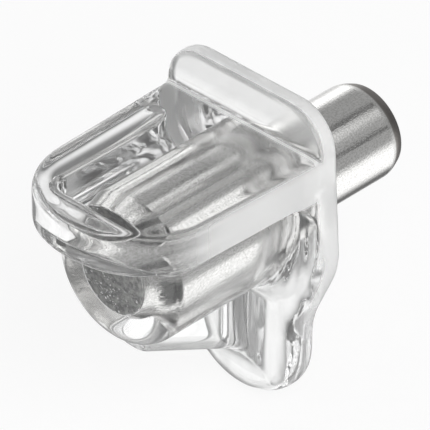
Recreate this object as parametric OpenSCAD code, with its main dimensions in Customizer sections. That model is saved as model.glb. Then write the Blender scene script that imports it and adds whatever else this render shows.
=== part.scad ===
// Shelf support pin: a clear moulded bracket on a plain steel pin.
// Sizes are in millimetres. The pin's axis is the Y axis and the flange's back face is the plane y = 0.
// +Y runs out of the back along the pin into the cabinet side, +Z is up, +X is to the right from the front.

/* [Pin] */
// Diameter of the pin, for a 5 mm system hole
pin_d = 5; // [4.8:0.1:5.2]
// Length of the pin that stands out behind the flange
pin_out = 7.6; // [6:0.1:12]
// Length of the pin inside the bracket
pin_in = 9.5; // [7:0.1:9.7]
// Diameter of the outer end face
outer_end_d = 4.45; // [3.6:0.05:4.7]
// Length of the lead-in taper at the outer end
outer_lead = 0.65; // [0.3:0.05:1]
// Diameter of the inner end face
inner_end_d = 4.2; // [3.6:0.1:4.7]
// Length of the taper at the inner end
inner_lead = 1.2; // [0.4:0.1:1.5]
// Diameter of the neck that the flange grips
neck_d = 4.6; // [4:0.1:4.7]
// Length of that neck
neck_l = 0.8; // [0.4:0.1:0.9]

/* [Shelf plate] */
// Height of the shelf face above the pin's axis
shelf_z = 4.55; // [4.2:0.05:4.8]
// Thickness of the plate
plate_t = 2.1; // [1.6:0.1:2.3]
// Width of the plate at the flange
plate_w = 10.2; // [9.8:0.1:10.2]
// Distance from the flange's back face to the plate's front edge
plate_reach = 12.7; // [12:0.1:15]
// Taper of each side of the plate, in degrees
plate_taper = 2; // [0:0.5:3]
// Radius of the two front corners, seen from above
corner_r = 4.2; // [3:0.1:4.4]
// Radius of the bowed front edge, seen from above
front_r = 6.5; // [6:0.5:14]
// Rounding of the plate's top edge
plate_edge_r = 0.5; // [0.2:0.1:0.8]

/* [Flange] */
// Width of the flange at the pin
flange_w = 10.9; // [10.7:0.1:11.2]
// Width of the flange at its top corners
flange_top_w = 10.3; // [10.3:0.1:10.7]
// Height of the flange's top edge above the pin's axis
flange_top = 6.8; // [6.5:0.1:8]
// Radius of the two top corners
flange_corner_r = 2.2; // [1:0.1:2.4]
// Thickness of the flange below the shelf plate
flange_t = 1.4; // [1.3:0.1:1.8]
// Thickness of the flange above the shelf plate
flange_top_t = 1; // [0.8:0.1:1.2]
// Width of the tongue below the pin
tongue_w = 7.6; // [7.4:0.1:7.8]
// Depth of the tongue's rounded end below the pin's axis
tongue_low = 10.9; // [10.6:0.1:12]
// Radius of the curves that lead from the flange into the tongue
waist_r = 4.3; // [4:0.1:4.5]

/* [Boss and gusset] */
// Radius of the boss around the pin
boss_r = 3.85; // [3.6:0.05:3.9]
// Distance from the flange's back face to the boss's front
boss_reach = 9.9; // [9.9:0.1:11]
// Rounding of the boss's front edge
boss_edge_r = 1; // [0.6:0.1:1.5]
// Thickness of the gusset under the boss
gusset_t = 1.7; // [1:0.1:2]
// Distance from the flange's back face to the gusset's front
gusset_reach = 8.8; // [8:0.1:9.2]
// Depth of the gusset's front corner below the boss
gusset_drop = 0.8; // [0.3:0.1:0.9]
// Rounding of that corner
gusset_nose_r = 1.2; // [0.6:0.1:1.4]
// Slope of the gusset's lower edge, in degrees
gusset_slope = 26; // [22:1:28]

/* [Blends] */
// Radius between the boss's sides and the flange
boss_blend_r = 1.4; // [0.8:0.1:1.5]
// Radius between the plate's underside and the flange
plate_blend_r = 1.5; // [0.8:0.1:1.6]
// Radius between the gusset's sides and the tongue
gusset_blend_r = 1.4; // [1:0.1:1.8]
// Radius where the gusset's lower edge runs out on the tongue
runout_r = 2.2; // [1.8:0.1:2.6]

/* [Hidden] */
$fn = 96;
arc_steps = 10;    // straight steps in each arc of the plate's plan
edge_steps = 4;    // straight steps in the plate's rounded top edge
lap = 0.4;         // how far one solid runs into the next
mouth_l = 0.15;    // depth of the full-width mouth of the pin's hole
waist_z = -0.9;    // height where the flange starts to narrow
taper_z = 1;       // height where the flange starts to thin, up to the shelf face
tongue_side = 0.7; // straight side of the tongue, above its round end

plate_under = shelf_z - plate_t;
pin_r = pin_d / 2;
flange_half = flange_w / 2;
top_half = flange_top_w / 2;
tongue_half = tongue_w / 2;
tongue_c = tongue_half - tongue_low;

// The waist is a bulge and a hollow of one radius, joined by their common tangent.
hollow_z = tongue_c + tongue_side;
bulge_x = flange_half - waist_r;
hollow_x = tongue_half + waist_r;
waist_d = norm([hollow_x - bulge_x, waist_z - hollow_z]);
waist_a = asin(2 * waist_r / waist_d) - atan2(hollow_x - bulge_x, waist_z - hollow_z);

// The plate's plan has tapered sides, two corner arcs and a bowed front, each tangent to the next.
front_c = [0, front_r - plate_reach];
side_n = [cos(plate_taper), -sin(plate_taper)];
side_gap = side_n * front_c - side_n * [plate_w / 2, -flange_top_t] + corner_r;
arc_gap = front_r - corner_r;
corner_c = front_c - side_n * side_gap
    + [side_n[1], -side_n[0]] * sqrt(arc_gap * arc_gap - side_gap * side_gap);
corner_a = atan2(corner_c[1] - front_c[1], corner_c[0]);
plate_blend_w = plate_w - 2 * (flange_t + plate_blend_r - flange_top_t) * tan(plate_taper);

// The gusset's lower edge starts at a rounded nose under the boss and falls to its run-out on the tongue.
gusset_z = -boss_r - gusset_drop;
nose_y = gusset_nose_r * (1 - sin(gusset_slope)) - gusset_reach;
nose_z = gusset_z - (gusset_reach + nose_y) * tan(gusset_slope);
nose_c = [gusset_nose_r - gusset_reach, nose_z + gusset_nose_r * cos(gusset_slope)];
foot_y = -flange_t - runout_r * (1 - sin(gusset_slope));
foot_z = gusset_z - (gusset_reach + foot_y) * tan(gusset_slope);
runout_c = [-flange_t - runout_r, foot_z - runout_r * cos(gusset_slope)];

function polar(r, a) = r * [cos(a), sin(a)];
function mirrored(pts) = [for (i = [len(pts) - 1 : -1 : 0]) [-pts[i][0], pts[i][1]]];

// Plan of the plate, drawn in by i all round. Its back end lies inside the flange.
function plate_back(i) =
    [plate_w / 2 + lap * tan(plate_taper) - i / cos(plate_taper), lap - flange_top_t];
function plate_corner(i) =
    [for (k = [0 : arc_steps])
        corner_c + polar(corner_r - i, -plate_taper + (corner_a + plate_taper) * k / arc_steps)];
function plate_front(i) =
    [for (k = [1 : arc_steps - 1])
        front_c + polar(front_r - i, corner_a - (180 + 2 * corner_a) * k / arc_steps)];
function plate_plan(i) = concat(
    [plate_back(i)],
    plate_corner(i),
    plate_front(i),
    mirrored(plate_corner(i)),
    mirrored([plate_back(i)]));

// Turns a drawing in the plane y-z into a solid of width w, centred on x = 0.
module across(w) {
    translate([-w / 2, 0, 0]) rotate([90, 0, 90]) linear_extrude(height = w) children();
}

// Turns a half drawing (radius, y) into the lower half of a round solid on the pin's axis.
module lower_half() {
    rotate([-90, 0, 0]) rotate_extrude(angle = 180) children();
}

// The waste corner of a blend of radius r, with its square corner at the origin.
module blend(r) {
    difference() {
        translate([-lap, -r]) square([r + lap, r + lap]);
        translate([r, -r]) circle(r);
    }
}

// The plate is a skin over one outline at its underside and one at each step of the rounded top edge.
module plate() {
    rings = concat(
        [[0, plate_under]],
        [for (k = [0 : edge_steps]) let (a = 90 * k / edge_steps)
            [plate_edge_r * (1 - cos(a)), shelf_z - plate_edge_r * (1 - sin(a))]]);
    n = len(plate_plan(0));
    top = n * (len(rings) - 1);
    polyhedron(
        points = [for (ring = rings, p = plate_plan(ring[0])) [p[0], p[1], ring[1]]],
        faces = concat(
            [[for (i = [n - 1 : -1 : 0]) i]],
            [for (k = [0 : n : top - n], i = [0 : n - 1])
                [k + i, k + (i + 1) % n, k + n + (i + 1) % n, k + n + i]],
            [[for (i = [0 : n - 1]) top + i]]));
}

module flange_outline() {
    bulge_end = [bulge_x, waist_z] + polar(waist_r, -waist_a);
    hollow_end = [hollow_x, hollow_z] - polar(waist_r, -waist_a);
    right = [
        [top_half - flange_corner_r, flange_top],
        [top_half, flange_top - flange_corner_r],
        [flange_half, waist_z],
        bulge_end,
        hollow_end,
        [tongue_half, hollow_z],
        [tongue_half, tongue_c]];
    difference() {
        polygon(concat(right, mirrored(right)));
        for (s = [-1, 1]) {
            translate([s * hollow_x, hollow_z]) circle(waist_r);
        }
    }
    for (s = [-1, 1]) {
        translate([s * (top_half - flange_corner_r), flange_top - flange_corner_r]) circle(flange_corner_r);
        translate([s * bulge_x, waist_z]) circle(waist_r);
    }
    translate([0, tongue_c]) circle(tongue_half);
}

module flange() {
    difference() {
        rotate([90, 0, 0]) linear_extrude(height = flange_t) flange_outline();
        across(flange_w + 2 * lap)
            polygon([
                [-flange_t, taper_z],
                [-flange_top_t, shelf_z],
                [-flange_top_t, flange_top + lap],
                [-flange_t - lap, flange_top + lap],
                [-flange_t - lap, taper_z]]);
    }
}

// Half of the boss's plan, from its middle to its side, with the front edge rounded.
module boss_half_plan() {
    translate([0, boss_edge_r - boss_reach]) square([boss_r, boss_reach - boss_edge_r - flange_t + lap]);
    translate([0, -boss_reach]) square([boss_r - boss_edge_r, boss_reach - flange_t]);
    translate([boss_r - boss_edge_r, boss_edge_r - boss_reach]) circle(boss_edge_r);
}

module boss() {
    lower_half() boss_half_plan();
    linear_extrude(height = plate_under + lap) {
        boss_half_plan();
        mirror([1, 0]) boss_half_plan();
    }
}

module blends() {
    lower_half() translate([boss_r, -flange_t]) blend(boss_blend_r);
    for (s = [0, 1]) {
        mirror([s, 0, 0]) linear_extrude(height = plate_under + lap)
            translate([boss_r, -flange_t]) blend(boss_blend_r);
    }
    across(plate_blend_w) translate([-flange_t, plate_under]) mirror([1, 0]) blend(plate_blend_r);
}

// The gusset's outline from the side, from its rounded nose down to its curved run-out.
module gusset_side() {
    translate(nose_c) circle(gusset_nose_r);
    difference() {
        polygon([
            [lap - flange_t, -boss_r / 2],
            [-gusset_reach, -boss_r / 2],
            [-gusset_reach, nose_c[1]],
            nose_c,
            [nose_y, nose_z],
            [foot_y, foot_z],
            [-flange_t, runout_c[1]],
            [lap - flange_t, runout_c[1]]]);
        translate(runout_c) circle(runout_r);
    }
}

module gusset() {
    intersection() {
        translate([0, 0, runout_c[1] - lap]) linear_extrude(height = -runout_c[1]) {
            translate([-gusset_t / 2, -boss_reach]) square([gusset_t, boss_reach - flange_t + lap]);
            for (s = [0, 1]) {
                mirror([s, 0]) translate([gusset_t / 2, -flange_t]) blend(gusset_blend_r);
            }
        }
        across(gusset_t + 2 * gusset_blend_r + lap) gusset_side();
    }
}

// The pin's shape, drawn as (radius, y) and turned about the pin's axis.
module pin_body() {
    rotate([-90, 0, 0]) rotate_extrude()
        polygon([
            [0, -pin_in],
            [inner_end_d / 2, -pin_in],
            [pin_r, inner_lead - pin_in],
            [pin_r, -neck_l],
            [neck_d / 2, -neck_l],
            [neck_d / 2, 0],
            [pin_r, 0],
            [pin_r, pin_out - outer_lead],
            [outer_end_d / 2, pin_out],
            [0, pin_out]]);
}

module bracket() {
    color([0.9, 0.92, 0.92, 0.45])
        difference() {
            union() {
                plate();
                flange();
                boss();
                blends();
                gusset();
            }
            pin_body();
            translate([0, lap, 0]) rotate([90, 0, 0]) cylinder(r = pin_r, h = lap + mouth_l);
        }
}

module pin() {
    color([0.62, 0.62, 0.63]) pin_body();
}

bracket();
pin();
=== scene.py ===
# %% [markdown]
# # A clear shelf support on a steel pin
#
# This part holds up one corner of a shelf. Its pin goes into a 5 mm hole in a cabinet side, its
# flange lies against that side, and the shelf rests on its plate. There are three things to make:
# the clear moulded bracket, the bright steel pin that it is moulded round, and the small air
# bubbles that the moulding traps over the pin's end.
#
# Sizes are in millimetres here, as on a drawing, and each finished mesh is scaled to metres. The
# pin's axis is Y and the flange's back face is the plane y = 0, as in the solid model.

import math
import random

import bmesh
import bpy
from mathutils import Matrix, Quaternion, Vector


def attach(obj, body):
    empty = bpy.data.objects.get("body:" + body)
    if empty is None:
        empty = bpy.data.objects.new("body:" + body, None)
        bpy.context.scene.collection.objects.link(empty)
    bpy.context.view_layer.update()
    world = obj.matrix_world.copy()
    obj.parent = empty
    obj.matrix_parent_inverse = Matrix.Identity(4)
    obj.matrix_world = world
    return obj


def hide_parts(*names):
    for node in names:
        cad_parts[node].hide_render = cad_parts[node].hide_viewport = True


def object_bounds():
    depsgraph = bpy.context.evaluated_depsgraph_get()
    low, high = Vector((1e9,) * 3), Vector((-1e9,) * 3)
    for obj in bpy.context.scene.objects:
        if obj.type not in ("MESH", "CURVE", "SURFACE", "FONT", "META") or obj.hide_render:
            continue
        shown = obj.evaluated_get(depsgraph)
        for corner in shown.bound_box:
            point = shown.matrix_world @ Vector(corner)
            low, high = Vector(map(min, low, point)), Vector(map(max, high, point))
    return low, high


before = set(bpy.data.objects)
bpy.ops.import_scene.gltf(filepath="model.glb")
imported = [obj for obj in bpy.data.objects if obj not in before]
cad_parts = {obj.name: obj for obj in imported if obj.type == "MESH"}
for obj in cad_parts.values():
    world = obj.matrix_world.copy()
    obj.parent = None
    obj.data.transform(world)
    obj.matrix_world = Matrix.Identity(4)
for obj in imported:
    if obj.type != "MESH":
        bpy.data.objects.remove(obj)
cad_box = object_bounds()
MM = 0.001
print("solid model's box in metres:", cad_box)

# %% [markdown]
# ## Outlines
#
# Every wall of the bracket is a flat outline with arcs in it. An outline could be a list of
# points worked out by hand, but it is easier to walk round it: put down one vertex, draw a
# straight line to the next place, and let the spin operator sweep each arc about its centre.
# `Pen` does this, in the plane of two chosen axes.

# %% The pen
tiny = 1e-4  # points nearer to each other than this are one point


class Pen:
    """Walks round an outline in the plane of two axes, such as "xy"."""

    def __init__(self, bm, plane, start):
        self.bm = bm
        self.axes = ["xyz".index(a) for a in plane]
        self.tip = bm.verts.new(self.place(start))
        self.first = self.tip

    def place(self, point):
        co = [0.0, 0.0, 0.0]
        for axis, value in zip(self.axes, point):
            co[axis] = value
        return Vector(co)

    def line(self, point):
        end = self.bm.verts.new(self.place(point))
        self.bm.edges.new((self.tip, end))
        self.tip = end

    def arc(self, centre, degrees, steps=12):
        """Sweeps the tip about centre; a positive turn goes from the first axis to the second."""
        normal = self.place((1, 0)).cross(self.place((0, 1)))
        swept = bmesh.ops.spin(
            self.bm, geom=[self.tip], cent=self.place(centre), axis=normal,
            angle=math.radians(degrees), steps=steps, use_duplicate=False,
        )
        self.tip = [g for g in swept["geom_last"] if isinstance(g, bmesh.types.BMVert)][0]

    def face(self):
        """Draws the last line back to the start and fills the outline."""
        self.bm.edges.new((self.tip, self.first))
        return bmesh.ops.contextual_create(self.bm, geom=self.bm.edges[:])["faces"][0]

    def mirrored_face(self):
        """Mirrors a half outline that starts and ends on x = 0, and fills the whole."""
        half = self.bm.verts[:] + self.bm.edges[:]
        bmesh.ops.mirror(self.bm, geom=half, axis="X", merge_dist=tiny)
        bmesh.ops.remove_doubles(self.bm, verts=self.bm.verts, dist=tiny)
        return bmesh.ops.contextual_create(self.bm, geom=self.bm.edges[:])["faces"][0]


print("the pen draws in millimetres; points", tiny, "mm apart are one point")

# %% [markdown]
# ## The walls of the bracket
#
# The bracket is one moulding, but it is easier to model as walls that run into each other: a
# plate, a flange, a boss round the pin, a gusset, and the soft blends in the corners. Each wall
# is drawn once as a closed shell. A voxel remesh later melts the shells into one skin, as the
# mould does, and a little smoothing leaves the small fillets that every moulded corner has.

# %% Walls from outlines
shells = bmesh.new()
lap = 0.4  # how far one wall runs into the next


def close_shell(bm):
    """Joins doubled points and turns every face outwards."""
    bmesh.ops.remove_doubles(bm, verts=bm.verts, dist=tiny)
    bmesh.ops.recalc_face_normals(bm, faces=bm.faces)


def keep_shell(bm):
    """Adds a finished wall to the shells that are melted together later."""
    close_shell(bm)
    scrap = bpy.data.meshes.new("wall")
    bm.to_mesh(scrap)
    shells.from_mesh(scrap)
    bpy.data.meshes.remove(scrap)
    bm.free()


def thicken(bm, face, vector):
    """Pulls a face out into a solid."""
    grown = bmesh.ops.extrude_face_region(bm, geom=[face])["geom"]
    moved = [g for g in grown if isinstance(g, bmesh.types.BMVert)]
    bmesh.ops.translate(bm, vec=vector, verts=moved)
    bmesh.ops.recalc_face_normals(bm, faces=bm.faces)


print("walls run", lap, "mm into each other")

# %% Rounded rims
sharp_edge = math.radians(60)


def round_rim(bm, test, radius, segments):
    """Bevels the sharp edges whose ends both pass the test."""
    rim = [
        e for e in bm.edges
        if len(e.link_faces) == 2
        and all(test(v.co) for v in e.verts)
        and e.calc_face_angle(0) > sharp_edge
    ]
    bmesh.ops.bevel(
        bm, geom=rim, offset=radius, offset_type="OFFSET", segments=segments, profile=0.5,
        affect="EDGES", clamp_overlap=False, material=-1,
    )


print("a rim is rounded where it turns more than", round(math.degrees(sharp_edge)), "degrees")

# %% [markdown]
# ## The plate
#
# The shelf rests on the plate. Seen from above it narrows a little towards the front, where two
# round corners lead into one wide arc. It could be a block with bevelled corners, but three arcs
# that touch each other give the true curve, so half of it is drawn and then mirrored. The plate's
# edges are rounded in the mould, more on the shelf face than below.

# %% The plate
shelf_z = 4.55  # the shelf face, above the pin's axis
plate_t = 2.1
plate_under = shelf_z - plate_t
plate_half = 5.1  # half the width, where the plate meets the flange
plate_reach = 12.7
plate_taper = math.radians(2)
corner_r = 4.2
front_r = 6.5
flange_top_t = 1.0  # the flange's thickness above the shelf face
plate_top_r = 0.5
plate_rim_r = 0.15

side_n = Vector((math.cos(plate_taper), -math.sin(plate_taper)))
front_c = Vector((0, front_r - plate_reach))
side_gap = side_n.dot(front_c) - side_n.dot(Vector((plate_half, -flange_top_t))) + corner_r
corner_c = (
    front_c - side_n * side_gap
    + Vector((side_n.y, -side_n.x)) * math.sqrt((front_r - corner_r) ** 2 - side_gap**2)
)
corner_a = math.degrees(math.atan2(corner_c.y - front_c.y, corner_c.x))

plate = bmesh.new()
pen = Pen(plate, "xy", (0, -plate_reach))
pen.arc(front_c, 90 + corner_a, 16)
pen.arc(corner_c, -math.degrees(plate_taper) - corner_a, 24)
pen.line((plate_half, -flange_top_t))
pen.line((plate_half, lap - flange_top_t))
pen.line((0, lap - flange_top_t))
thicken(plate, pen.mirrored_face(), (0, 0, plate_t))
bmesh.ops.translate(plate, vec=(0, 0, plate_under), verts=plate.verts)
round_rim(plate, lambda co: co.z > shelf_z - tiny, plate_top_r, 8)
round_rim(plate, lambda co: co.z < plate_under + tiny, plate_rim_r, 3)
keep_shell(plate)
print("plate:", plate_t, "mm thick, reaches", plate_reach, "mm")

# %% [markdown]
# ## The flange
#
# The flange lies flat against the cabinet. It stands a little above the shelf face, where it gets
# thinner, and below the pin it narrows at a waist to a tongue with a round end. A cylinder joined
# to a block would leave a corner at the waist, so the outline is drawn with a bulging and a
# hollow arc that touch. The front is then tapered by moving its upper points back.

# %% The flange's outline
flange_t = 1.4
flange_half = 5.45  # half the width at the waist's top
top_half = 5.15  # half the width at the top
flange_top = 6.8
flange_corner_r = 2.2
tongue_half = 3.8
tongue_low = 10.9  # the tongue's lowest point, below the pin's axis
tongue_side = 0.7  # the tongue's straight side, above its round end
waist_r = 4.3
waist_z = -0.9

tongue_c = tongue_half - tongue_low
hollow_z = tongue_c + tongue_side
bulge_x = flange_half - waist_r
hollow_x = tongue_half + waist_r
waist_d = math.hypot(hollow_x - bulge_x, waist_z - hollow_z)
waist_a = math.asin(2 * waist_r / waist_d) - math.atan2(hollow_x - bulge_x, waist_z - hollow_z)
waist_turn = Vector((math.cos(waist_a), math.sin(waist_a))) * waist_r

flange = bmesh.new()
pen = Pen(flange, "xz", (0, flange_top))
pen.line((top_half - flange_corner_r, flange_top))
pen.arc((top_half - flange_corner_r, flange_top - flange_corner_r), -90, 16)
pen.line((flange_half, waist_z))
pen.arc((bulge_x, waist_z), -math.degrees(waist_a), 12)
pen.line((hollow_x - waist_turn.x, hollow_z + waist_turn.y))
pen.arc((hollow_x, hollow_z), math.degrees(waist_a), 12)
pen.line((tongue_half, tongue_c))
pen.arc((0, tongue_c), -90, 24)
thicken(flange, pen.mirrored_face(), (0, -flange_t, 0))
print("flange:", flange_t, "mm thick, from", -tongue_low, "to", flange_top, "mm high")

# %% The flange's taper and rims
taper_z = 1.0  # the front leans back from this height up to the shelf face
back_rim_r = 0.25
upstand_rim_r = 0.3
tongue_rim_r = 0.85

for z in (taper_z, shelf_z):
    bmesh.ops.bisect_plane(
        flange, geom=flange.verts[:] + flange.edges[:] + flange.faces[:],
        plane_co=(0, 0, z), plane_no=(0, 0, 1),
    )
for v in flange.verts:
    if v.co.y < -flange_t / 2 and v.co.z > taper_z:
        share = min(1, (v.co.z - taper_z) / (shelf_z - taper_z))
        v.co.y = -flange_t + share * (flange_t - flange_top_t)
front_y = tiny - flange_top_t
round_rim(flange, lambda co: co.y > -tiny, back_rim_r, 4)
round_rim(flange, lambda co: co.y < front_y and co.z > taper_z - tiny, upstand_rim_r, 5)
round_rim(flange, lambda co: co.y < front_y and co.z < taper_z + tiny, tongue_rim_r, 10)
keep_shell(flange)
print("the flange gets", round(flange_t - flange_top_t, 2), "mm thinner towards its top")

# %% [markdown]
# ## The boss
#
# The boss holds the pin. It is round below the pin and runs straight up into the plate on each
# side. It could be one extruded outline, but its front edge is rounded all the way round, so it
# is a lathe shape with a block above it, and both are drawn from the same half plan.

# %% The boss
boss_r = 3.85
boss_reach = 9.9
boss_edge_r = 1.0


def turn_round(bm, geom, steps, degrees=360):
    """Spins geometry about the pin's axis."""
    bmesh.ops.spin(
        bm, geom=geom, cent=(0, 0, 0), axis=(0, 1, 0), angle=math.radians(degrees),
        steps=steps, use_merge=degrees == 360,
    )


def boss_plan(pen):
    """Half of the boss's outline from above, from the middle of its front."""
    pen.line((boss_r - boss_edge_r, -boss_reach))
    pen.arc((boss_r - boss_edge_r, boss_edge_r - boss_reach), 90, 10)
    pen.line((boss_r, lap - flange_t))
    pen.line((0, lap - flange_t))


boss = bmesh.new()
boss_plan(Pen(boss, "xy", (0, -boss_reach)))
turn_round(boss, boss.verts[:] + boss.edges[:], 96)
close_shell(boss)
keep_shell(boss)

boss_top = bmesh.new()
pen = Pen(boss_top, "xy", (0, -boss_reach))
boss_plan(pen)
thicken(boss_top, pen.mirrored_face(), (0, 0, plate_under + lap))
keep_shell(boss_top)
print("boss:", 2 * boss_r, "mm across, reaches", boss_reach, "mm")

# %% [markdown]
# ## The soft corners
#
# Where two walls of a moulding meet, the mould leaves a hollow blend, so that the plastic flows
# and does not crack. A bevel on the melted skin would be hard to steer, so each blend is its own
# small wall: the waste corner between an arc and the two walls that it touches. It is spun round
# the boss, pulled out along a straight wall, or swept round the boss's front edge.

# %% The blends at the flange
boss_blend_r = 1.4


def corner_fill(pen, corner, radius, way):
    """The waste corner between two walls that meet at corner; way is +1 or -1 on each axis."""
    a, b = corner
    sa, sb = way
    pen.line((a - sa * lap, b + sb * radius))
    pen.line((a, b + sb * radius))
    pen.arc((a + sa * radius, b + sb * radius), sa * sb * 90, 10)
    pen.line((a + sa * radius, b - sb * lap))


boss_blend = bmesh.new()
pen = Pen(boss_blend, "xy", (boss_r - lap, lap - flange_t))
corner_fill(pen, (boss_r, -flange_t), boss_blend_r, (1, -1))
fill_face = pen.face()
turn_round(boss_blend, boss_blend.verts[:] + boss_blend.edges[:] + [fill_face], 48, 180)
close_shell(boss_blend)
keep_shell(boss_blend)
for side in (1, -1):
    wall_blend = bmesh.new()
    pen = Pen(wall_blend, "xy", (boss_r - lap, lap - flange_t))
    corner_fill(pen, (boss_r, -flange_t), boss_blend_r, (1, -1))
    thicken(wall_blend, pen.face(), (0, 0, plate_under + lap))
    bmesh.ops.scale(wall_blend, vec=(side, 1, 1), verts=wall_blend.verts)
    keep_shell(wall_blend)
print("boss blends at the flange:", boss_blend_r, "mm")

# %% The blends under the plate
boss_top_r = 0.8
plate_blend_r = 1.5
blend_inset = 0.1  # how far a blend's ends stay inside the plate's sides


def edges_in(geom):
    """The edges among the parts that an operator gives back."""
    return [g for g in geom if isinstance(g, bmesh.types.BMEdge)]


def sweep_on(bm, wire, vector):
    """Sweeps a wire outline along a vector and gives its far end."""
    grown = bmesh.ops.extrude_edge_only(bm, edges=wire)["geom"]
    bmesh.ops.translate(
        bm, vec=vector, verts=[g for g in grown if isinstance(g, bmesh.types.BMVert)]
    )
    return edges_in(grown)


for side in (1, -1):
    under_blend = bmesh.new()
    pen = Pen(under_blend, "xz", (boss_r - lap, plate_under + lap))
    corner_fill(pen, (boss_r, plate_under), boss_top_r, (1, -1))
    under_blend.edges.new((pen.tip, pen.first))
    bmesh.ops.translate(under_blend, vec=(0, lap - flange_t, 0), verts=under_blend.verts)
    corner = Vector((boss_r - boss_edge_r, boss_edge_r - boss_reach, 0))
    end = sweep_on(under_blend, under_blend.edges[:], (0, corner.y + flange_t - lap, 0))
    turned = bmesh.ops.spin(
        under_blend, geom=end, cent=corner, axis=(0, 0, 1), angle=math.radians(-90), steps=16
    )
    sweep_on(under_blend, edges_in(turned["geom_last"]), (-corner.x - lap, 0, 0))
    bmesh.ops.holes_fill(under_blend, edges=[e for e in under_blend.edges if e.is_boundary])
    bmesh.ops.scale(under_blend, vec=(side, 1, 1), verts=under_blend.verts)
    keep_shell(under_blend)

plate_blend = bmesh.new()
pen = Pen(plate_blend, "yz", (lap - flange_t, plate_under + lap))
corner_fill(pen, (-flange_t, plate_under), plate_blend_r, (-1, -1))
thicken(plate_blend, pen.face(), (2 * (plate_half - blend_inset), 0, 0))
bmesh.ops.translate(plate_blend, vec=(blend_inset - plate_half, 0, 0), verts=plate_blend.verts)
keep_shell(plate_blend)
print("faces in the walls so far:", len(shells.faces))

# %% [markdown]
# ## The gusset
#
# The gusset is a thin upright rib under the boss. From the side it slopes back with a round nose
# and runs out on the tongue in a soft curve, and from above its foot widens into the flange. Two
# outlines in different planes shape it, so each is pulled out into a solid, and a Boolean keeps
# what the two share.

# %% The gusset's two outlines
gusset_half = 0.85
gusset_reach = 8.8
gusset_drop = 0.8
gusset_nose_r = 1.2
gusset_slope = math.radians(26)
runout_r = 2.2
gusset_blend_r = 1.4

gusset_z = -boss_r - gusset_drop
nose_y = gusset_nose_r * (1 - math.sin(gusset_slope)) - gusset_reach
nose_z = gusset_z - (gusset_reach + nose_y) * math.tan(gusset_slope)
nose_c = (gusset_nose_r - gusset_reach, nose_z + gusset_nose_r * math.cos(gusset_slope))
foot_y = -flange_t - runout_r * (1 - math.sin(gusset_slope))
foot_z = gusset_z - (gusset_reach + foot_y) * math.tan(gusset_slope)
runout_c = (-flange_t - runout_r, foot_z - runout_r * math.cos(gusset_slope))
slope_turn = 90 - math.degrees(gusset_slope)

gusset_side = bmesh.new()
pen = Pen(gusset_side, "yz", (-gusset_reach, -boss_r / 2))
pen.line((-gusset_reach, nose_c[1]))
pen.arc(nose_c, slope_turn, 8)
pen.line((foot_y, foot_z))
pen.arc(runout_c, -slope_turn, 12)
pen.line((lap - flange_t, runout_c[1]))
pen.line((lap - flange_t, -boss_r / 2))
thicken(gusset_side, pen.face(), (2 * (gusset_half + gusset_blend_r + lap), 0, 0))
bmesh.ops.translate(
    gusset_side, vec=(-gusset_half - gusset_blend_r - lap, 0, 0), verts=gusset_side.verts
)
close_shell(gusset_side)

gusset_plan = bmesh.new()
pen = Pen(gusset_plan, "xy", (0, -boss_reach))
pen.line((gusset_half, -boss_reach))
pen.line((gusset_half, -flange_t - gusset_blend_r))
pen.arc((gusset_half + gusset_blend_r, -flange_t - gusset_blend_r), -90, 12)
pen.line((gusset_half + gusset_blend_r, lap / 2 - flange_t))
pen.line((0, lap / 2 - flange_t))
thicken(gusset_plan, pen.mirrored_face(), (0, 0, tongue_low))
bmesh.ops.translate(gusset_plan, vec=(0, 0, -tongue_low - lap), verts=gusset_plan.verts)
close_shell(gusset_plan)
print("gusset's foot at z =", round(foot_z, 2), "mm")

# %% The gusset
gusset_rim_r = 0.5
run_clear = 0.1  # the rounded rim stops this far above the run-out's end


def new_object(bm, name):
    """Turns a bmesh into an object of the scene, and frees it."""
    mesh = bpy.data.meshes.new(name)
    bm.to_mesh(mesh)
    bm.free()
    made = bpy.data.objects.new(name, mesh)
    bpy.context.scene.collection.objects.link(made)
    return made


def baked_mesh(ob):
    """The object's mesh with its modifiers applied."""
    bpy.context.view_layer.update()
    return bpy.data.meshes.new_from_object(
        ob.evaluated_get(bpy.context.evaluated_depsgraph_get())
    )


def in_common(bm_a, bm_b):
    """The solid that two closed shells share."""
    objects = [new_object(bm, "shared") for bm in (bm_a, bm_b)]
    cut = objects[0].modifiers.new("common", "BOOLEAN")
    cut.operation, cut.solver, cut.object = "INTERSECT", "EXACT", objects[1]
    result = bmesh.new()
    result.from_mesh(baked_mesh(objects[0]))
    for ob in objects:
        bpy.data.objects.remove(ob)
    return result


gusset = in_common(gusset_side, gusset_plan)
rim_low, rim_high = runout_c[1] + run_clear, nose_c[1]
round_rim(gusset, lambda co: rim_low < co.z < rim_high, gusset_rim_r, 6)
keep_shell(gusset)
print("gusset:", 2 * gusset_half, "mm thick, reaches", gusset_reach, "mm")

# %% [markdown]
# ## One skin
#
# The voxel remesh samples the shells on a fine grid and wraps one skin round whatever is inside
# any of them. Joining the shells with Booleans would keep every hard corner between them. The
# mesh is still in millimetres here, because in metres so fine a grid is at the tool's limit. The
# smoothing takes off the steps of the grid and rounds every inner corner a little. The hole for
# the pin is cut afterwards, so that it stays true, and a hair under size, so that no film of air
# shows between the plastic and the steel: the plastic was moulded onto the pin.

# %% The melted walls
voxel_size = 0.1
smooth_share, smooth_passes = 0.5, 8

walls = new_object(shells, "walls")
remesh = walls.modifiers.new("melt", "REMESH")
remesh.mode, remesh.voxel_size, remesh.use_smooth_shade = "VOXEL", voxel_size, True
soften = walls.modifiers.new("soften", "SMOOTH")
soften.factor, soften.iterations = smooth_share, smooth_passes
print("the walls melt together on a grid of", voxel_size, "mm")

# %% The hole for the pin
pin_r = 2.5
pin_in = 9.5  # the pin's length inside, from the flange's back
inner_end_r = 2.05
inner_lead = 1.2  # the inner taper's length
bore_grip = 0.01  # how much the hole is under size
hole_overrun = 1  # how far its cutter reaches out past the flange's back

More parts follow.
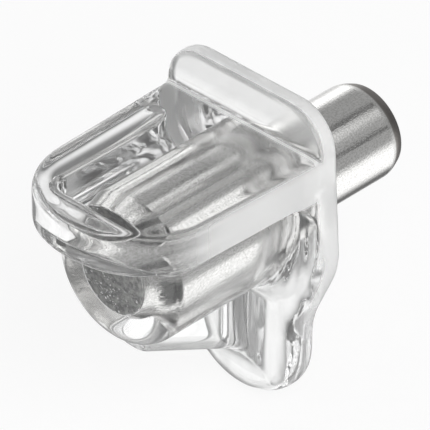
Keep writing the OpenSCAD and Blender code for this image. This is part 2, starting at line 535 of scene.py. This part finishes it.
hole_bm = bmesh.new()
pen = Pen(hole_bm, "xy", (0, bore_grip - pin_in))
pen.line((inner_end_r - bore_grip, bore_grip - pin_in))
pen.line((pin_r - bore_grip, inner_lead - pin_in + bore_grip))
pen.line((pin_r - bore_grip, hole_overrun))
pen.line((0, hole_overrun))
turn_round(hole_bm, hole_bm.verts[:] + hole_bm.edges[:], 128)
close_shell(hole_bm)
hole = new_object(hole_bm, "pin_hole")
bore = walls.modifiers.new("bore", "BOOLEAN")
bore.operation, bore.solver, bore.object = "DIFFERENCE", "EXACT", hole
body_bm = bmesh.new()
body_bm.from_mesh(baked_mesh(walls))
bpy.data.objects.remove(walls)
bpy.data.objects.remove(hole)
print("bracket faces:", len(body_bm.faces))

# %% [markdown]
# ## Where the mould is not polished
#
# The mould is polished where the shelf lies and round the boss, but parts of it are only eroded,
# so the flange's edge faces, the upstand over the plate and the plate's right side come out
# satin. A mask for this could be built from coordinates in the material. It is simpler to write
# it on the mesh as a colour, point by point, from the place and the direction of the surface.

# %% The satin rims
upstand_satin, tongue_satin = 0.4, 0.4

# Each pair says where the satin, or its fading, starts and where it is full.
faces_front = (0.35, 0.8)
behind_front = (-flange_t - 0.05, -flange_t + 0.15)
up_the_tongue = (-6.5, -2.5)
faces_right = (0.3, 0.95)
right_side = (plate_half - 0.9, plate_half - 0.5)
above_under = (plate_under - 0.2, plate_under)
along_side = (-11.5, -6.5)
above_shelf = (shelf_z + 0.1, shelf_z + 0.7)


def eased(value, limits):
    """Goes smoothly from 0 at the lower limit to 1 at the upper one."""
    low, high = limits
    share = min(1.0, max(0.0, (value - low) / (high - low)))
    return share * share * (3 - 2 * share)


def satin_at(co, normal):
    """1 on the eroded rims and 0 on the polished faces."""
    edge_face = 1 - eased(abs(normal.y), faces_front)
    low_share = tongue_satin + (1 - tongue_satin) * eased(co.z, up_the_tongue)
    flange_rim = edge_face * eased(co.y, behind_front) * low_share
    outward = eased(normal.x, faces_right) * eased(co.x, right_side)
    on_side = eased(co.z, above_under) * eased(co.y, along_side)
    upstand = upstand_satin * eased(co.z, above_shelf)
    return max(flange_rim, outward * on_side, upstand)


body_bm.normal_update()
satin = body_bm.verts.layers.float_color.new("satin")
for v in body_bm.verts:
    amount = satin_at(v.co, v.normal)
    v[satin] = (amount, amount, amount, 1)
print("satin points:", sum(v[satin][0] > 0.5 for v in body_bm.verts), "of", len(body_bm.verts))


# %% The finished bracket
def finished_piece(bm, name):
    """Turns a bmesh drawn in millimetres into a smooth piece in metres."""
    bmesh.ops.scale(bm, vec=(MM, MM, MM), verts=bm.verts)
    piece = new_object(bm, name)
    piece.data.shade_smooth()
    return piece


bracket = finished_piece(body_bm, "bracket_body")
print("bracket triangles:", sum(len(p.vertices) - 2 for p in bracket.data.polygons))

# %% [markdown]
# ## The pin
#
# The pin is a drawn steel rod with a lead-in taper at each end. It could be a cylinder with
# bevelled ends, but a half section spun about the axis keeps each taper's own length. Its corners
# get a little radius first, and the one at the outer taper gets more, where the plating shines.

# %% The pin
pin_out = 7.6  # the pin's length outside, from the flange's back
outer_end_r = 2.225
outer_lead = 0.65  # the outer taper's length
chamfer_corner_r = 0.28
pin_corner_r = 0.1
least_turn = math.radians(10)

pin_bm = bmesh.new()
pen = Pen(pin_bm, "xy", (0, -pin_in))
pen.line((inner_end_r, -pin_in))
pen.line((pin_r, inner_lead - pin_in))
pen.line((pin_r, pin_out - outer_lead))
pen.line((outer_end_r, pin_out))
pen.line((0, pin_out))
chamfer_corner = Vector((pin_r, pin_out - outer_lead))
for only_at, offset in ((chamfer_corner, chamfer_corner_r), (None, pin_corner_r)):
    corners = [
        v for v in pin_bm.verts
        if v.co.x > tiny and len(v.link_edges) == 2 and v.calc_edge_angle(0) > least_turn
        and (only_at is None or (v.co.xy - only_at).length < tiny)
    ]
    bmesh.ops.bevel(
        pin_bm, geom=corners, offset=offset, offset_type="OFFSET", segments=5, profile=0.5,
        affect="VERTICES", material=-1,
    )
turn_round(pin_bm, pin_bm.verts[:] + pin_bm.edges[:], 128)
close_shell(pin_bm)
pin = finished_piece(pin_bm, "pin_body")
print("pin faces:", len(pin.data.polygons))

# %% [markdown]
# ## Trapped air
#
# When the plastic flows round the cold end of the pin, a little air is caught against the sheared
# steel. It stays as a scatter of tiny bubbles in the thin wall over the pin's end, thickest low
# down on one side. A bubble turns light back at its skin, so it shows as a bright speck. Each is
# modelled as a small bright bead. A seeded random draw places them, so that they fall as unevenly
# as real ones and yet the same way on every run.

# %% The bubbles
bubble_rng = random.Random(7)
bubble_count = 110
bubble_small, bubble_large = 0.028, 0.085  # radii
bubble_middle, bubble_scatter = 250, 50  # degrees round the pin: low down, to the left
bubble_layer = 0.12  # the thickness of plastic that they are spread through

bubbles_bm = bmesh.new()
for _ in range(bubble_count):
    reach = (inner_end_r - bubble_large) * math.sqrt(bubble_rng.random())
    around = math.radians(bubble_rng.gauss(bubble_middle, bubble_scatter))
    radius = bubble_small + (bubble_large - bubble_small) * bubble_rng.random() ** 2
    depth = -pin_in - bubble_large - bubble_layer * bubble_rng.random()
    centre = Vector((reach * math.cos(around), depth, reach * math.sin(around)))
    bmesh.ops.create_icosphere(
        bubbles_bm, subdivisions=1, radius=radius, matrix=Matrix.Translation(centre)
    )
bubbles = finished_piece(bubbles_bm, "air_bubbles")
print("bubbles:", bubble_count, "faces:", len(bubbles.data.polygons))

# %% [markdown]
# ## Finishes
#
# A material is a small tree of nodes. Painted pictures could carry the marks of plastic and
# steel, but patterns made by the nodes need no unwrapping. They use the object's own coordinates,
# so they hold from every side. A few helpers keep the trees short: each adds one step to a tree
# and feeds it with what came before.


# %% Material helpers
def new_material(name):
    """A material with its node tree."""
    material = bpy.data.materials.new(name)
    material.use_nodes = True
    return material, material.node_tree


def add_node(tree, kind, links=None, **settings):
    """Adds a node, sets its properties and feeds its inputs, each a value or an output."""
    node = tree.nodes.new(kind)
    for key, value in settings.items():
        setattr(node, key, value)
    for key, value in (links or {}).items():
        if isinstance(value, bpy.types.NodeSocket):
            tree.links.new(value, node.inputs[key])
        else:
            node.inputs[key].default_value = value
    return node


def object_pattern(tree, stretch=(1, 1, 1), scale=1.0, detail=2.0, roughness=0.5):
    """Noise on the object's coordinates: scale in cells per metre, stretch a share of it."""
    where = add_node(tree, "ShaderNodeTexCoord").outputs["Object"]
    place = add_node(tree, "ShaderNodeMapping", {"Vector": where, "Scale": stretch})
    return add_node(
        tree, "ShaderNodeTexNoise",
        {"Vector": place.outputs[0], "Scale": scale, "Detail": detail, "Roughness": roughness},
    ).outputs["Fac"]


print("materials so far:", len(bpy.data.materials))


# %% Single steps of a tree
def ranged(tree, value, low, high, to_low, to_high, kind="LINEAR"):
    """Moves a value from one range to another and stops it at both ends."""
    return add_node(
        tree, "ShaderNodeMapRange",
        {"Value": value, "From Min": low, "From Max": high, "To Min": to_low, "To Max": to_high},
        interpolation_type=kind,
    ).outputs["Result"]


def mixed(tree, factor, a, b, kind="FLOAT"):
    """Goes from a to b with the factor: numbers, or colours where kind is RGBA."""
    return add_node(
        tree, "ShaderNodeMix", {"Factor": factor, "A": a, "B": b}, data_type=kind
    ).outputs["Result"]


def worked(tree, operation, a, b=0.0):
    """One step of arithmetic on two values."""
    return add_node(tree, "ShaderNodeMath", {0: a, 1: b}, operation=operation).outputs[0]


def bumped(tree, height, strength, distance, normal=None):
    """A normal that follows a height pattern; distance is the relief in metres."""
    links = {"Strength": strength, "Distance": distance, "Height": height}
    if normal:
        links["Normal"] = normal
    return add_node(tree, "ShaderNodeBump", links).outputs[0]


def own_place(tree):
    """The X, Y and Z of a point in the object's own coordinates."""
    where = add_node(tree, "ShaderNodeTexCoord").outputs["Object"]
    return add_node(tree, "ShaderNodeSeparateXYZ", {"Vector": where}).outputs


print("steps ready:", [step.__name__ for step in (ranged, mixed, worked, bumped, own_place)])

# %% [markdown]
# ## Clear plastic
#
# The plastic is polished and almost without colour, so what it shows is at its surface: a slow
# waviness from the way it shrank in the mould, faint flow marks, and upright streaks where it
# filled the flange last. Displacing the mesh would need far more points, so each of these is a
# bump. The satin mask takes away some clearness and makes the surface rough.

# %% Clear plastic
polished_clear, satin_clear, satin_rough = 0.94, 0.52, 0.38
ripple_relief, mark_relief, streak_relief = 0.00006, 0.00001, 0.0002
faint_grey, pure_white = (0.97, 0.975, 0.97, 1), (1, 1, 1, 1)
streaks_from, streaks_full = -2.2, -1.2  # along Y, towards the flange

plastic, tree = new_material("clear_plastic")
shader = tree.nodes["Principled BSDF"]
shader.inputs["IOR"].default_value = 1.5
cloud = object_pattern(tree, scale=350, detail=3)
tint = mixed(tree, cloud, faint_grey, pure_white, "RGBA")
tree.links.new(tint, shader.inputs["Base Color"])
flow = object_pattern(tree, stretch=(1, 0.35, 1), scale=900, detail=1)
polished = ranged(tree, flow, 0.45, 0.75, 0.0, 0.03)
satin_mask = add_node(tree, "ShaderNodeAttribute", attribute_name="satin").outputs["Fac"]
tree.links.new(mixed(tree, satin_mask, polished, satin_rough), shader.inputs["Roughness"])
clearness = ranged(tree, satin_mask, 0, 1, polished_clear, satin_clear)
tree.links.new(clearness, shader.inputs["Transmission Weight"])

ripple = bumped(tree, object_pattern(tree, scale=260, detail=1), 0.25, ripple_relief)
marks = bumped(tree, flow, 0.12, mark_relief, ripple)
place = own_place(tree)
near_flange = ranged(tree, place["Y"], streaks_from * MM, streaks_full * MM, 0, 1)
under_shelf = ranged(tree, place["Z"], shelf_z * MM, plate_under * MM, 0, 1)
streak = object_pattern(tree, stretch=(1, 1, 0.22), scale=650, detail=1)
streak_share = worked(tree, "MULTIPLY", near_flange, under_shelf)
streak_height = worked(tree, "MULTIPLY", streak, streak_share)
streaks = bumped(tree, streak_height, 1.0, streak_relief, marks)
tree.links.new(streaks, shader.inputs["Normal"])
bracket.data.materials.append(plastic)
print("clear plastic:", len(tree.nodes), "nodes")

# %% [markdown]
# ## Plated steel
#
# The pin is cut from a drawn rod and plated bright. It has a fine grain along its length and a
# light speckle. Its outer taper is painted darker, as painted shade for the dark room that it
# mirrors, and it sits behind a rolled ring at its corner. Where the pin is moulded into the
# plastic its colour is painted a little darker, as painted shade. The inner end is sheared and
# dull.
# Separate materials would leave hard borders between these zones, so one material fades from zone
# to zone along the pin's own Y.

# %% Plated steel
steel_relief = 0.00001
cut_rough = 0.35
edge_blur, moulded_shade_blur, rolled_wide = 0.05, 0.2, 0.3  # millimetres along the pin
open_dim, open_bright = (0.78, 0.775, 0.76, 1), (0.96, 0.955, 0.94, 1)
# The steel inside the plastic is painted a little darker: painted shade.
moulded_shade_dim, moulded_shade_bright = (0.74, 0.735, 0.72, 1), (0.94, 0.935, 0.925, 1)
# The outer taper's colour is painted dark: painted shade for the dark room that it mirrors.
taper_shade_colour = (0.36, 0.34, 0.325, 1)
sheared_dim, sheared_bright = (0.2, 0.2, 0.2, 1), (0.5, 0.5, 0.49, 1)

steel, tree = new_material("plated_steel")
shader = tree.nodes["Principled BSDF"]
shader.inputs["Metallic"].default_value = 1.0
along = own_place(tree)["Y"]
grain = object_pattern(tree, stretch=(1, 0.08, 1), scale=9000, detail=2)
speckle = object_pattern(tree, stretch=(1, 0.7, 1), scale=13000, detail=2)
blotch = object_pattern(tree, scale=3500, detail=4, roughness=0.7)
chamfer_y = pin_out - outer_lead
rolled_y = chamfer_y - rolled_wide
# Where the outer taper starts, for its painted shade.
outer_taper_shade = ranged(tree, along, (chamfer_y - edge_blur) * MM, (chamfer_y + edge_blur) * MM, 0, 1)
rolled = ranged(tree, along, rolled_y * MM, (rolled_y + rolled_wide / 2) * MM, 0, 1)
inner_cut = ranged(tree, along, (edge_blur - pin_in) * MM, -pin_in * MM, 0, 1)
# Where the pin is inside the plastic, for its painted shade.
moulded_in_shade = ranged(tree, along, 0, -moulded_shade_blur * MM, 0, 1)

speckles = ranged(tree, speckle, 0.35, 0.6, 0, 1)
open_steel = mixed(tree, speckles, open_dim, open_bright, "RGBA")
shaded_moulded_steel = mixed(tree, speckles, moulded_shade_dim, moulded_shade_bright, "RGBA")
# Painted shade: the pin is painted a little darker inside the plastic.
barrel = mixed(tree, moulded_in_shade, open_steel, shaded_moulded_steel, "RGBA")
# Painted shade: the outer taper is painted dark.
with_taper_shade = mixed(tree, outer_taper_shade, barrel, taper_shade_colour, "RGBA")
shear_marks = ranged(tree, blotch, 0.4, 0.62, 0, 1)
sheared = mixed(tree, shear_marks, sheared_dim, sheared_bright, "RGBA")
steel_colour = mixed(tree, inner_cut, with_taper_shade, sheared, "RGBA")
tree.links.new(steel_colour, shader.inputs["Base Color"])

drawn = ranged(tree, grain, 0.3, 0.7, 0.09, 0.15)
cut_ends = worked(tree, "MAXIMUM", rolled, inner_cut)
tree.links.new(mixed(tree, cut_ends, drawn, cut_rough), shader.inputs["Roughness"])
lines = bumped(tree, grain, 0.4, steel_relief)
pits = bumped(tree, speckle, 0.6, steel_relief, lines)
tree.links.new(pits, shader.inputs["Normal"])
pin.data.materials.append(steel)
print("plated steel:", len(tree.nodes), "nodes")

# %% [markdown]
# ## Bright air
#
# A bubble in clear plastic turns light back at its skin almost like a mirror. A hollow with its
# own glass surface would need many more rays, and at this size it would hardly show. A bright,
# slightly rough metal does the same for each bead.

# %% Bright air
air, tree = new_material("trapped_air")
shader = tree.nodes["Principled BSDF"]
shader.inputs["Metallic"].default_value = 1.0
shader.inputs["Roughness"].default_value = 0.2
gleam = object_pattern(tree, scale=5000)
gleam_colour = mixed(tree, gleam, (0.9, 0.9, 0.9, 1), pure_white, "RGBA")
tree.links.new(gleam_colour, shader.inputs["Base Color"])
bubbles.data.materials.append(air)
print("bright air:", len(tree.nodes), "nodes")

# %% [markdown]
# ## What each piece stands for
#
# The bracket and the pin stand in for the solids of the same part, and the bubbles only dress
# it. Nothing moves on this part, so all of it rides on its one body.

# %% Pieces and their solids
for piece, node, slot in ((bracket, "bracket", "clear_plastic"), (pin, "pin", "plated_steel")):
    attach(piece, "root")
    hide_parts(node)
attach(bubbles, "root")
print("pieces:", bracket.name, pin.name, bubbles.name)

# %% [markdown]
# ## Camera
#
# The part is tiny, and it is looked at from its front right corner and from above, so a long lens
# stands well back from it and keeps its parallel edges nearly parallel. The camera could be
# placed by hand, but two compass angles and a distance say the same more plainly.


# %% Camera
def compass(azimuth, elevation):
    """The unit vector towards a place in the room; azimuth 0 is in front (-Y), 90 is +X."""
    azimuth, elevation = math.radians(azimuth), math.radians(elevation)
    return Vector((
        math.sin(azimuth) * math.cos(elevation),
        -math.cos(azimuth) * math.cos(elevation),
        math.sin(elevation),
    ))


view_azimuth, view_elevation, view_distance = 44.318, 34.865, 0.3
sensor_width, focal_length = 36, 531.9
camera_target = Vector((-0.637, -2.264, -0.605)) * MM
towards = compass(view_azimuth, view_elevation)
camera_data = bpy.data.cameras.new("camera")
camera_data.sensor_width, camera_data.lens = sensor_width, focal_length
camera_data.clip_start, camera_data.clip_end = 0.01, 10
camera = bpy.data.objects.new("camera", camera_data)
camera.location = camera_target + towards * view_distance
camera.rotation_euler = (-towards).to_track_quat("-Z", "Y").to_euler()
bpy.context.scene.collection.objects.link(camera)
bpy.context.scene.camera = camera
print("camera at", [round(c, 4) for c in camera.location])

# %% [markdown]
# ## The studio
#
# Clear plastic and bright steel show what stands round them, so the room matters as much as the
# finish. It could be built from real walls and lamps, but the world's own shader can paint the
# same room on the sky: a pale tent of plain soft light, with soft-edged cards in it. Dark cards
# draw the dark lines that give clear plastic its edges, and one long bright card gives the steel
# its band of light. The camera itself sees plain white where nothing stands in its way.

# %% One soft card
world = bpy.data.worlds.new("studio")
bpy.context.scene.world = world
world.use_nodes = True
tree = world.node_tree
sky = add_node(tree, "ShaderNodeTexCoord").outputs["Generated"]
card_edge = 0.16


def part_along(axis):
    """How far the direction looked in goes along an axis, from -1 to 1."""
    return add_node(
        tree, "ShaderNodeVectorMath", {0: sky, 1: axis}, operation="DOT_PRODUCT"
    ).outputs["Value"]


def inside(value, half):
    """1 within half of the middle and 0 well outside, with a soft edge."""
    soft = min(card_edge, half)
    away = worked(tree, "ABSOLUTE", value)
    return ranged(tree, away, half - soft, half + soft, 1, 0, "SMOOTHSTEP")


def soft_card(room, azimuth, elevation, half_wide, half_high, turn, level):
    """Lays a soft rectangular card of a given brightness over the room's level so far."""
    middle = compass(azimuth, elevation)
    right = middle.cross(Vector((0, 0, 1))).normalized()
    right.rotate(Quaternion(middle, -math.radians(turn)))
    up = right.cross(middle)
    wide = inside(part_along(right), half_wide)
    high = inside(part_along(up), half_high)
    facing = worked(tree, "GREATER_THAN", part_along(middle))
    mask = worked(tree, "MULTIPLY", worked(tree, "MULTIPLY", wide, high), facing)
    return mixed(tree, mask, room, level)


print("a card's edge is soft over", 2 * card_edge, "of the unit sphere")

# %% The tent and its cards
room = 1.06
for azimuth, elevation, half_wide, half_high, turn, level in (
    (160, 16, 0.90, 0.45, -5, 0.36),     # the dim room beyond the tent, behind on the right
    (-160, 55, 0.50, 0.85, 5, 0.32),     # and overhead
    (134, -36, 0.30, 0.30, 0, 1.18),     # bright panel low behind on the right
    (94, -28, 0.31, 0.67, -8, 0.00),     # tall dark card on the right
    (78, 48, 0.35, 0.34, 0, 0.00),       # its top, turned in
    (180, -26, 0.25, 0.67, -22, 0.15),   # tall dark card behind
    (-70, -40, 0.64, 0.45, -10, 0.28),   # dark table edge in front on the left
    (-124, 12, 0.26, 0.20, 0, 1.40),     # small bright panel behind on the left
    (90, 81, 0.98, 0.07, 0, 0.12),       # two dark seams of the tent, along the pin
    (90, 21, 0.98, 0.05, 0, 0.10),
):
    room = soft_card(room, azimuth, elevation, half_wide, half_high, turn, level)

white = 1.0
seen = add_node(tree, "ShaderNodeLightPath").outputs["Is Camera Ray"]
strength = mixed(tree, seen, room, white)
tree.nodes["Background"].inputs["Color"].default_value = (1, 1, 1, 1)
tree.links.new(strength, tree.nodes["Background"].inputs["Strength"])
bpy.context.scene.view_settings.view_transform = "Standard"
print("studio:", len(tree.nodes), "nodes")

# %% [markdown]
# ## The floor
#
# The part stands on a plain pale floor that takes its soft shadow. A plane with a grey material
# would do that, but it would also darken everything seen through the plastic. So the camera sees
# paper that is lifted towards white, as if it were lit from below, while clear plastic and steel
# look through it to the studio, and so does a camera that looks up from underneath.

# %% The floor
floor_half, floor_lift = 0.6, 0.86
floor_bm = bmesh.new()
bmesh.ops.create_grid(floor_bm, x_segments=2, y_segments=2, size=floor_half)
bmesh.ops.translate(floor_bm, vec=(0, 0, cad_box[0][2]), verts=floor_bm.verts)
floor = new_object(floor_bm, "floor")

paper, tree = new_material("pale_paper")
tree.nodes.remove(tree.nodes["Principled BSDF"])
fibre = object_pattern(tree, scale=900, detail=3)
paper_colour = mixed(tree, fibre, (0.88, 0.88, 0.88, 1), (0.92, 0.92, 0.92, 1), "RGBA")
matt = add_node(tree, "ShaderNodeBsdfDiffuse", {"Color": paper_colour}).outputs[0]
glow = add_node(tree, "ShaderNodeEmission", {"Color": (1, 1, 1, 1), "Strength": white})
path = add_node(tree, "ShaderNodeLightPath").outputs
lift = ranged(tree, path["Is Camera Ray"], 0, 1, 0, floor_lift)
lifted = add_node(tree, "ShaderNodeMixShader", {0: lift, 1: matt, 2: glow.outputs[0]}).outputs[0]
from_below = add_node(tree, "ShaderNodeNewGeometry").outputs["Backfacing"]
see_through = path["Is Glossy Ray"]
for other in (path["Is Transmission Ray"], path["Is Shadow Ray"], from_below):
    see_through = worked(tree, "MAXIMUM", see_through, other)
clear = add_node(tree, "ShaderNodeBsdfTransparent").outputs[0]
surface = add_node(tree, "ShaderNodeMixShader", {0: see_through, 1: lifted, 2: clear}).outputs[0]
tree.links.new(surface, tree.nodes["Material Output"].inputs["Surface"])
floor.data.materials.append(paper)
print("floor at z =", round(floor.data.vertices[0].co.z, 4), "m")

# %% [markdown]
# ## The lamp
#
# The satin rims and the floor spread light instead of mirroring it, and the tent alone leaves
# them a little dull. A brighter tent would wash out the clear parts, so one broad lamp adds to
# the spread light only. It does not show as a reflection.

# %% The lamp
lamp_size, lamp_watts, lamp_distance = 0.35, 1.2, 0.4
lamp_data = bpy.data.lights.new("broad_lamp", "AREA")
lamp_data.shape, lamp_data.size, lamp_data.energy = "DISK", lamp_size, lamp_watts
lamp = bpy.data.objects.new("broad_lamp", lamp_data)
lamp.location = compass(70, 40) * lamp_distance
lamp.rotation_euler = (-lamp.location).to_track_quat("-Z", "Y").to_euler()
lamp.visible_camera = lamp.visible_glossy = lamp.visible_transmission = False
bpy.context.scene.collection.objects.link(lamp)
print("lamp:", lamp_watts, "W,", lamp_distance, "m away")
